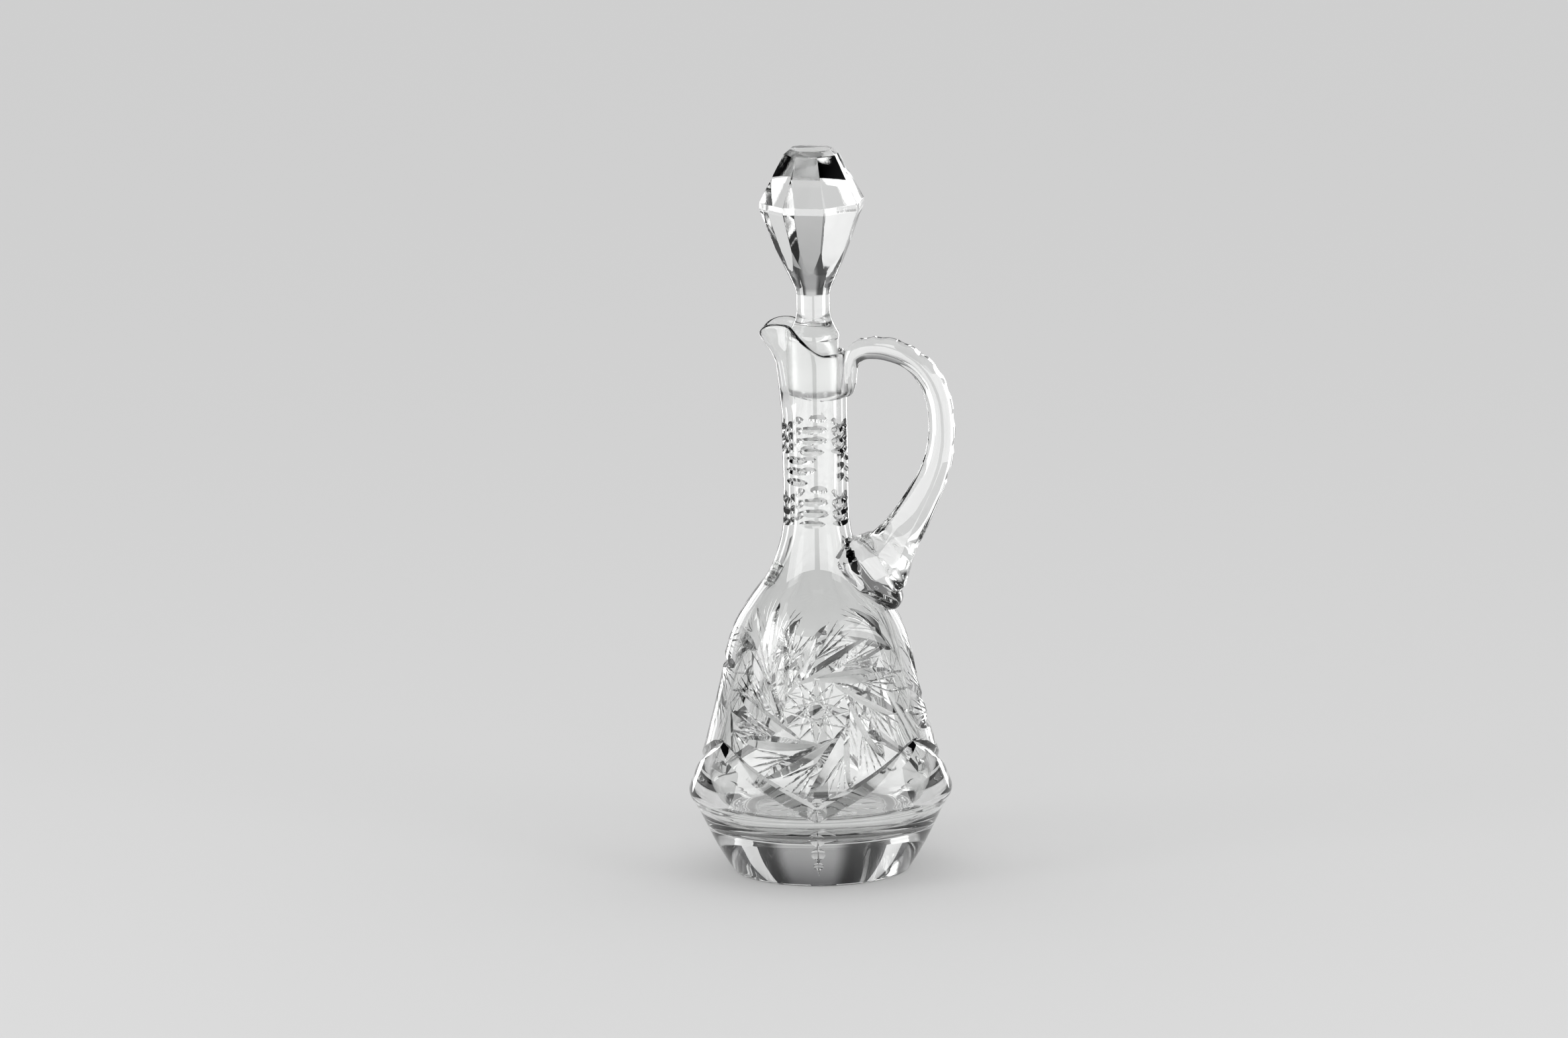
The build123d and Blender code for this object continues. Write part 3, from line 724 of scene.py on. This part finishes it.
# %% Plug, collar and stem
PLUG = [
    (0, 231.7), (2.2, 231.5), (4.6, 230.8), (7.6, 230.55), (9.6, 230.7), (10.6, 231.3), (10.96, 232.4),
    (12.16, 258.2), (12.38, 259.3), (12.2, 260.6), (10.9, 263.2), (9.2, 266.4), (8.2, 269.6),
    (8.0, 273.0), (8.0, 279.0), (8.0, 279.5), (0, 279.5),
]
PLUG_STEPS, PLUG_CORNERS = 6, (6, 7, 13, 14, 15, 16)
PLUG_LOW, PLUG_HIGH, PLUG_INNER_RADIUS = 232.4, 258.3, 10.5
plug_bm = outline_mesh(smooth_line(PLUG, PLUG_STEPS, PLUG_CORNERS))
turn_round(plug_bm, TURNS)
for face in plug_bm.faces:
    middle = face.calc_center_median()
    face.smooth = True
    if PLUG_LOW < middle.z < PLUG_HIGH and hypot(middle.x, middle.y) > PLUG_INNER_RADIUS:
        face.material_index = GROUND
stopper = shape_object(plug_bm, "stopper_glass")
print("plug and stem:", len(stopper.data.polygons), "faces")

# %% [markdown]
# The head is turned first and then ground flat on a lap: eight flats above the girdle, eight long
# ones below it, a narrow band between and a narrow row under the table. A loft of octagons would
# give the flats too, but cutting the spun head with planes also gives the arcs where they run out
# on the round glass. The hard edges get a tiny bevel, because a real one is never a perfect line.

# %% Head with its flats
HEAD = [
    (0, 276.0), (8.0, 276.0), (8.0, 279.8), (8.7, 282.4), (10.4, 286.3), (12.8, 291.5),
    (27.0, 321.6), (27.0, 340.0), (14.5, 349.9), (0, 349.9),
]
HEAD_STEPS, HEAD_CORNERS = 5, (0, 1, 2, 5, 6, 7, 8, 9)
SMOOTH_TOP = 330
FLATS = 8
HARD_ANGLE, EDGE_WIDTH = radians(7), 0.22
STOPPER_SHARP_ANGLE = radians(12)
# Half width and height where the rows of flats meet, from the cone's foot up to the table.
FLAT_ROWS = ((12.7, 291.4), (23.6, 321.8), (23.6, 325.0), (12.4, 347.5), (9.4, 349.9))
head_bm = outline_mesh(smooth_line(HEAD, HEAD_STEPS, HEAD_CORNERS))
turn_round(head_bm, TURNS)
for face in head_bm.faces:
    face.smooth = face.calc_center_median().z < SMOOTH_TOP


def grind_flat(bm, point, normal):
    """Takes away what lies outside a plane and closes the flat."""
    cut = bmesh.ops.bisect_plane(bm, geom=bm.verts[:] + bm.edges[:] + bm.faces[:], dist=1e-4,
                                 plane_co=point, plane_no=normal, clear_outer=True)["geom_cut"]
    rim = [e for e in cut if isinstance(e, bmesh.types.BMEdge) and e.is_boundary]
    made = bmesh.ops.contextual_create(bm, geom=rim)["faces"]
    for face in made:
        face.smooth = False
        face.material_index = CUT


for i in range(FLATS):
    spin = Matrix.Rotation(2 * pi * i / FLATS, 3, "Z")
    for (low_width, low), (high_width, high) in zip(FLAT_ROWS, FLAT_ROWS[1:]):
        out = Vector((high - low, 0, low_width - high_width))
        grind_flat(head_bm, spin @ Vector((low_width, 0, low)), spin @ out)
bmesh.ops.remove_doubles(head_bm, verts=head_bm.verts[:], dist=0.01)
bmesh.ops.recalc_face_normals(head_bm, faces=head_bm.faces[:])
hard = [e for e in head_bm.edges if e.is_manifold and e.calc_face_angle() > HARD_ANGLE
        and all(not f.smooth for f in e.link_faces)]
bmesh.ops.bevel(head_bm, geom=hard, offset=EDGE_WIDTH, offset_type="OFFSET", segments=2,
                profile=0.5, affect="EDGES", material=-1)
combine(stopper, shape_object(head_bm, "stopper_head"), "UNION")
stopper.data.set_sharp_from_angle(angle=STOPPER_SHARP_ANGLE)
print("stopper:", len(stopper.data.polygons), "faces")

# %% [markdown]
# The frame is in metres, and so is Blender. The shapes could be scaled as objects, but materials
# read Object coordinates, so the scale goes into the meshes. Each piece then rides the body that
# carries it and stands in for the measured parts. Body and handle are one piece: they never part.

# %% Put the pieces in the frame, in metres
for piece in (glass, stopper):
    piece.data.transform(Matrix.Scale(MM, 4))
    piece.data.update()
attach(glass, "decanter")
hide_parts("vessel", "handle")
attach(stopper, "stopper")
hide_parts("stopper")
print("pieces:", glass.name, stopper.name)

# %% [markdown]
# ## Glass
# One kind of shader makes all four finishes: a Principled BSDF with full transmission and an index
# of 1.53, between window glass and lead crystal. What differs is the surface. Fire-polished glass
# is smooth but slowly wavy, wheel cuts keep faint tool marks, the seat is ground to satin, and the
# foot ring is scratched.
# A shared node group gives the waves and the marks as a height and a roughness.

# %% Surface group
PATCH_SCALE, PATCH_LOW, PATCH_HIGH = 55.0, 0.42, 0.72


def link(tree, start, end):
    tree.links.new(start, end)


surface = bpy.data.node_groups.new("glass_surface", "ShaderNodeTree")
for title, kind, default in (
    ("Wave Scale", "NodeSocketFloat", 40.0), ("Wave Height", "NodeSocketFloat", 1.0),
    ("Mark Scale", "NodeSocketFloat", 600.0), ("Mark Height", "NodeSocketFloat", 0.1),
    ("Smooth Roughness", "NodeSocketFloat", 0.0), ("Marked Roughness", "NodeSocketFloat", 0.03),
    ("Clear Color", "NodeSocketColor", (1, 1, 1, 1)),
    ("Marked Color", "NodeSocketColor", (0.95, 0.95, 0.95, 1)),
    ("Mark Share", "NodeSocketFloat", 0.5),
):
    socket = surface.interface.new_socket(name=title, in_out="INPUT", socket_type=kind)
    socket.default_value = default
for title, kind in (
    ("Color", "NodeSocketColor"), ("Roughness", "NodeSocketFloat"), ("Height", "NodeSocketFloat"),
):
    surface.interface.new_socket(name=title, in_out="OUTPUT", socket_type=kind)
give, take = surface.nodes.new("NodeGroupInput"), surface.nodes.new("NodeGroupOutput")
place = surface.nodes.new("ShaderNodeTexCoord")
waves, marks, patches = (surface.nodes.new("ShaderNodeTexNoise") for _ in range(3))
waves.inputs["Detail"].default_value = 1.0
marks.inputs["Detail"].default_value = 3.0
patches.inputs["Scale"].default_value = PATCH_SCALE
patches.inputs["Detail"].default_value = 4.0
for noise in (waves, marks, patches):
    link(surface, place.outputs["Object"], noise.inputs["Vector"])
link(surface, give.outputs["Wave Scale"], waves.inputs["Scale"])
link(surface, give.outputs["Mark Scale"], marks.inputs["Scale"])
wave_part, mark_part, height = (surface.nodes.new("ShaderNodeMath") for _ in range(3))
wave_part.operation = mark_part.operation = "MULTIPLY"
link(surface, waves.outputs["Fac"], wave_part.inputs[0])
link(surface, give.outputs["Wave Height"], wave_part.inputs[1])
link(surface, marks.outputs["Fac"], mark_part.inputs[0])
link(surface, give.outputs["Mark Height"], mark_part.inputs[1])
link(surface, wave_part.outputs[0], height.inputs[0])
link(surface, mark_part.outputs[0], height.inputs[1])
link(surface, height.outputs[0], take.inputs["Height"])
where = surface.nodes.new("ShaderNodeMapRange")
where.inputs["From Min"].default_value = PATCH_LOW
where.inputs["From Max"].default_value = PATCH_HIGH
link(surface, patches.outputs["Fac"], where.inputs["Value"])
share = surface.nodes.new("ShaderNodeMath")
share.operation = "MULTIPLY"
link(surface, where.outputs["Result"], share.inputs[0])
link(surface, give.outputs["Mark Share"], share.inputs[1])
rough = surface.nodes.new("ShaderNodeMix")
tint = surface.nodes.new("ShaderNodeMix")
tint.data_type = "RGBA"
link(surface, share.outputs[0], rough.inputs["Factor"])
link(surface, give.outputs["Smooth Roughness"], rough.inputs["A"])
link(surface, give.outputs["Marked Roughness"], rough.inputs["B"])
link(surface, rough.outputs["Result"], take.inputs["Roughness"])
link(surface, share.outputs[0], tint.inputs["Factor"])
link(surface, give.outputs["Clear Color"], tint.inputs[6])
link(surface, give.outputs["Marked Color"], tint.inputs[7])
link(surface, tint.outputs[2], take.inputs["Color"])
print("surface group:", [s.name for s in surface.interface.items_tree])

# %% [markdown]
# Each material holds the shared group with values of its own, and its own shader. Cycles could
# trace lamp light through the glass as caustics, but that is slow and noisy. Instead shadow rays
# pass through a grey tint, darker where the wall is seen edge on, so the floor gets a soft shadow.

# %% The four finishes
IOR = 1.53
BUMP_STRENGTH, BUMP_DISTANCE = 0.35, 0.00035
EDGE_BLEND, FACE_TINT, EDGE_TINT = 0.35, (0.92, 0.92, 0.92, 1), (0.3, 0.3, 0.3, 1)
# In the order of the group's inputs, from Wave Scale to Mark Share.
FINISH_VALUES = {
    "polished_glass": (
        38, 1.0, 900, 0.01, 0.0, 0.012, (0.985, 0.99, 0.985, 1), (0.965, 0.97, 0.965, 1), 0.7,
    ),
    "wheel_cut_glass": (
        120, 0.4, 1400, 0.06, 0.006, 0.035, (0.98, 0.985, 0.98, 1), (0.95, 0.955, 0.95, 1), 0.8,
    ),
    "ground_seat_glass": (
        90, 0.5, 2600, 0.5, 0.11, 0.2, (0.96, 0.965, 0.96, 1), (0.92, 0.925, 0.92, 1), 1.0,
    ),
    "worn_foot_glass": (
        90, 0.5, 1800, 0.5, 0.05, 0.28, (0.96, 0.965, 0.95, 1), (0.88, 0.88, 0.86, 1), 1.0,
    ),
}
for finish in finishes:
    tree = finish.node_tree
    shader, out = tree.nodes["Principled BSDF"], tree.nodes["Material Output"]
    values = FINISH_VALUES[finish.name]
    group = tree.nodes.new("ShaderNodeGroup")
    group.node_tree = surface
    for socket, value in zip(group.inputs, values):
        socket.default_value = value
    bump = tree.nodes.new("ShaderNodeBump")
    bump.inputs["Strength"].default_value = BUMP_STRENGTH
    bump.inputs["Distance"].default_value = BUMP_DISTANCE
    link(tree, group.outputs["Height"], bump.inputs["Height"])
    link(tree, bump.outputs["Normal"], shader.inputs["Normal"])
    link(tree, group.outputs["Color"], shader.inputs["Base Color"])
    link(tree, group.outputs["Roughness"], shader.inputs["Roughness"])
    shader.inputs["IOR"].default_value = IOR
    shader.inputs["Transmission Weight"].default_value = 1.0
    path, facing = tree.nodes.new("ShaderNodeLightPath"), tree.nodes.new("ShaderNodeLayerWeight")
    facing.inputs["Blend"].default_value = EDGE_BLEND
    dim = tree.nodes.new("ShaderNodeMix")
    dim.data_type = "RGBA"
    dim.inputs[6].default_value = FACE_TINT
    dim.inputs[7].default_value = EDGE_TINT
    link(tree, facing.outputs["Facing"], dim.inputs["Factor"])
    through = tree.nodes.new("ShaderNodeBsdfTransparent")
    mixed = tree.nodes.new("ShaderNodeMixShader")
    link(tree, dim.outputs[2], through.inputs["Color"])
    link(tree, path.outputs["Is Shadow Ray"], mixed.inputs["Fac"])
    link(tree, shader.outputs["BSDF"], mixed.inputs[1])
    link(tree, through.outputs["BSDF"], mixed.inputs[2])
    link(tree, mixed.outputs["Shader"], out.inputs["Surface"])
print("finishes ready, refractive index", IOR)

# %% [markdown]
# ## Floor, light and camera
# The decanter stands on a plain pale floor. A curved studio backdrop could close the view behind it,
# but a very wide disc does so from every side. The sky at the horizon has the floor's tone, so no
# seam shows between them.

# %% Floor
PALE = (0.62, 0.62, 0.62, 1)
FLOOR_RADIUS, FLOOR_ROUGHNESS = 60.0, 0.9
floor_bm = bmesh.new()
bmesh.ops.create_circle(floor_bm, cap_ends=True, segments=128, radius=FLOOR_RADIUS)
floor = shape_object(floor_bm, "floor")
floor.data.materials.clear()
paper = bpy.data.materials.new("pale_floor")
paper.use_nodes = True
paper_shader = paper.node_tree.nodes["Principled BSDF"]
paper_shader.inputs["Base Color"].default_value = PALE
paper_shader.inputs["Roughness"].default_value = FLOOR_ROUGHNESS
paper_shader.inputs["Specular IOR Level"].default_value = 0.0
floor.data.materials.append(paper)
print("floor:", FLOOR_RADIUS, "m across its radius")

# %% [markdown]
# Clear glass shows nothing of its own, only what stands round it. So the sky that the camera and
# the glass see is pale near the horizon and dark above, and the edges of the glass bend that dark
# into the picture. Photographers also stand black flags round glass to draw its edges: here eight
# upright dark bands do it, which the camera itself doesn't see, with a pale gap straight behind.
# Everything else is lit by a plain white sky of strength 1, and two soft lamps make highlights.

# %% The sky that is seen
FLAGS, FLAG_TURN, FLAG_TONE = 8, radians(5), 0.12
FLAG_EDGE_LOW, FLAG_EDGE_HIGH = -0.75, 0.35
HORIZON_RISE, DARK_RISE, HIGH_TONE = 0.05, 0.6, (0.04, 0.04, 0.045, 1)
world = bpy.data.worlds.new("studio")
bpy.context.scene.world = world
world.use_nodes = True
sky = world.node_tree
plain, out = sky.nodes["Background"], sky.nodes["World Output"]
plain.inputs["Color"].default_value = (1, 1, 1, 1)
plain.inputs["Strength"].default_value = 1.0
seen = sky.nodes.new("ShaderNodeBackground")
direction, split = sky.nodes.new("ShaderNodeTexCoord"), sky.nodes.new("ShaderNodeSeparateXYZ")
ramp = sky.nodes.new("ShaderNodeValToRGB")
ramp.color_ramp.elements[0].position = HORIZON_RISE
ramp.color_ramp.elements[0].color = PALE
ramp.color_ramp.elements[1].position = DARK_RISE
ramp.color_ramp.elements[1].color = HIGH_TONE
link(sky, direction.outputs["Generated"], split.inputs["Vector"])
link(sky, split.outputs["Z"], ramp.inputs["Fac"])
link(sky, ramp.outputs["Color"], seen.inputs["Color"])


def sky_math(operation, *values):
    """Math node of the sky on numbers or other nodes' outputs; gives its output."""
    node = sky.nodes.new("ShaderNodeMath")
    node.operation = operation
    for socket, value in zip(node.inputs, values):
        if isinstance(value, (int, float)):
            socket.default_value = value
        else:
            link(sky, value, socket)
    return node.outputs[0]


path = sky.nodes.new("ShaderNodeLightPath")
turn = sky_math("SUBTRACT", sky_math("ARCTAN2", split.outputs["Y"], split.outputs["X"]), FLAG_TURN)
wave = sky_math("COSINE", sky_math("MULTIPLY", turn, FLAGS))
flags = sky.nodes.new("ShaderNodeMapRange")
flags.interpolation_type = "SMOOTHSTEP"
for title, value in (
    ("From Min", FLAG_EDGE_LOW), ("From Max", FLAG_EDGE_HIGH), ("To Min", FLAG_TONE), ("To Max", 1.0),
):
    flags.inputs[title].default_value = value
link(sky, wave, flags.inputs["Value"])
strength = sky_math("MAXIMUM", flags.outputs["Result"], path.outputs["Is Camera Ray"])
link(sky, strength, seen.inputs["Strength"])

any_seen = sky_math("MAXIMUM", path.outputs["Is Camera Ray"], path.outputs["Is Glossy Ray"])
any_seen = sky_math("MAXIMUM", any_seen, path.outputs["Is Transmission Ray"])
shown = sky.nodes.new("ShaderNodeMixShader")
link(sky, any_seen, shown.inputs["Fac"])
link(sky, plain.outputs["Background"], shown.inputs[1])
link(sky, seen.outputs["Background"], shown.inputs[2])
link(sky, shown.outputs["Shader"], out.inputs["Surface"])
print("sky ready, with", FLAGS, "flags")

# %% [markdown]
# Two soft lamps stand left and right in front of the decanter. Point lamps would make hard sparks;
# a rectangle makes the long highlight that a studio's soft box leaves on glass.

# %% Soft lamps
LAMP_WIDTH, LAMP_HEIGHT, LAMP_POWER = 0.5, 1.0, 3.0
LAMP_AIM = Vector((0, 0, 0.17))


def soft_lamp(name, place):
    """Rectangular lamp at a place, facing the middle of the decanter."""
    lamp = bpy.data.lights.new(name, "AREA")
    lamp.shape = "RECTANGLE"
    lamp.size, lamp.size_y, lamp.energy = LAMP_WIDTH, LAMP_HEIGHT, LAMP_POWER
    holder = bpy.data.objects.new(name, lamp)
    holder.location = place
    holder.rotation_euler = (LAMP_AIM - Vector(place)).to_track_quat("-Z", "Y").to_euler()
    bpy.context.scene.collection.objects.link(holder)


soft_lamp("left_lamp", (-1.1, -0.75, 0.75))
soft_lamp("right_lamp", (1.2, -0.65, 0.75))
print("lamps:", LAMP_POWER, "W each")

# %% [markdown]
# The photograph's glass shows long white shapes, as tall white cards would leave on it. Real cards
# would flood the scene with light. These are lit only for rays that mirror off the glass, show
# faintly to rays that bent through it, and are clear to all others, so the camera and the floor
# don't see them. They are arcs round the decanter, and one square card hangs overhead.

# %% White cards
CARD_LIGHT = 4.5
CARD_SHARE_THROUGH_GLASS = 0.15
CARD_DISTANCE, CARD_HEIGHT = 0.5, 0.5
CARD_TURNS = ((-73, 3), (17, 93), (153, 165), (215, 227))
CARD_FOOT, CARD_STEPS = 0.002, 24
OVERHEAD_SIZE, OVERHEAD_TURN, OVERHEAD_PLACE = 0.14, radians(10), (0, -0.3, 0.95)
card_finish = bpy.data.materials.new("white_card")
card_finish.use_nodes = True
card_finish.cycles.emission_sampling = "NONE"
tree = card_finish.node_tree
tree.nodes.clear()
path, only_reflected = tree.nodes.new("ShaderNodeLightPath"), tree.nodes.new("ShaderNodeMath")
only_reflected.operation = "SUBTRACT"
only_reflected.use_clamp = True
link(tree, path.outputs["Is Glossy Ray"], only_reflected.inputs[0])
link(tree, path.outputs["Is Transmission Ray"], only_reflected.inputs[1])
clear, white = tree.nodes.new("ShaderNodeBsdfTransparent"), tree.nodes.new("ShaderNodeEmission")
white.inputs["Strength"].default_value = CARD_LIGHT
mixed, out = tree.nodes.new("ShaderNodeMixShader"), tree.nodes.new("ShaderNodeOutputMaterial")
faint, shown = tree.nodes.new("ShaderNodeMath"), tree.nodes.new("ShaderNodeMath")
faint.operation, shown.operation = "MULTIPLY", "ADD"
faint.inputs[1].default_value = CARD_SHARE_THROUGH_GLASS
link(tree, path.outputs["Is Transmission Ray"], faint.inputs[0])
link(tree, only_reflected.outputs[0], shown.inputs[0])
link(tree, faint.outputs[0], shown.inputs[1])
link(tree, shown.outputs[0], mixed.inputs["Fac"])
link(tree, clear.outputs["BSDF"], mixed.inputs[1])
link(tree, white.outputs["Emission"], mixed.inputs[2])
link(tree, mixed.outputs["Shader"], out.inputs["Surface"])
cards = bmesh.new()
for start, end in CARD_TURNS:
    edge = Vector((0, -CARD_DISTANCE, CARD_FOOT))
    edge.rotate(Matrix.Rotation(radians(start), 3, "Z"))
    low, high = cards.verts.new(edge), cards.verts.new(edge + Vector((0, 0, CARD_HEIGHT)))
    bmesh.ops.spin(cards, geom=[low, high, cards.edges.new((low, high))], axis=(0, 0, 1),
                   cent=(0, 0, 0), dvec=(0, 0, 0), angle=radians(end - start), steps=CARD_STEPS,
                   use_duplicate=False)
overhead = Matrix.Rotation(OVERHEAD_TURN, 4, "Z") @ Matrix.Translation(OVERHEAD_PLACE)
bmesh.ops.create_grid(cards, x_segments=1, y_segments=1, size=OVERHEAD_SIZE, matrix=overhead)
card = shape_object(cards, "white_cards")
card.data.materials.clear()
card.data.materials.append(card_finish)
print("cards:", len(card.data.polygons), "faces")

# %% [markdown]
# The photograph looks slightly down on the decanter from a little to its right, with a long lens and
# a small tilt. So the camera stands far off and its lens is worked out from the width of the frame
# at the decanter. Clear glass needs many bounces: a ray can cross a dozen surfaces on its way.

# %% Camera
AZIMUTH, ELEVATION, DISTANCE = radians(10), radians(12.2), 6.5
FRAME_WIDTH = 0.7475
AIM_HEIGHT, AIM_LEFT, ROLL = 0.1703, 0.0155, radians(-0.93)
SENSOR_WIDTH, VIEW_END = 36, 200
BOUNCES, CLEAR_BOUNCES = 20, 16
camera = bpy.data.cameras.new("camera")
camera.sensor_width = SENSOR_WIDTH
camera.lens = SENSOR_WIDTH * DISTANCE / FRAME_WIDTH
camera.clip_end = VIEW_END
view = bpy.data.objects.new("camera", camera)
bpy.context.scene.collection.objects.link(view)
back = Vector((sin(AZIMUTH) * cos(ELEVATION), -cos(AZIMUTH) * cos(ELEVATION), sin(ELEVATION)))
level = Vector((cos(AZIMUTH), sin(AZIMUTH), 0))
aim = Vector((0, 0, AIM_HEIGHT)) - level * AIM_LEFT
view.location = aim + back * DISTANCE
turned = (-back).to_track_quat("-Z", "Y").to_matrix().to_4x4()
view.rotation_euler = (turned @ Matrix.Rotation(ROLL, 4, "Z")).to_euler()
scene = bpy.context.scene
scene.camera = view
scene.view_settings.view_transform = "Standard"
scene.cycles.max_bounces = BOUNCES
scene.cycles.transmission_bounces = BOUNCES
scene.cycles.transparent_max_bounces = CLEAR_BOUNCES
print("lens", round(camera.lens, 1), "mm at", DISTANCE, "m")
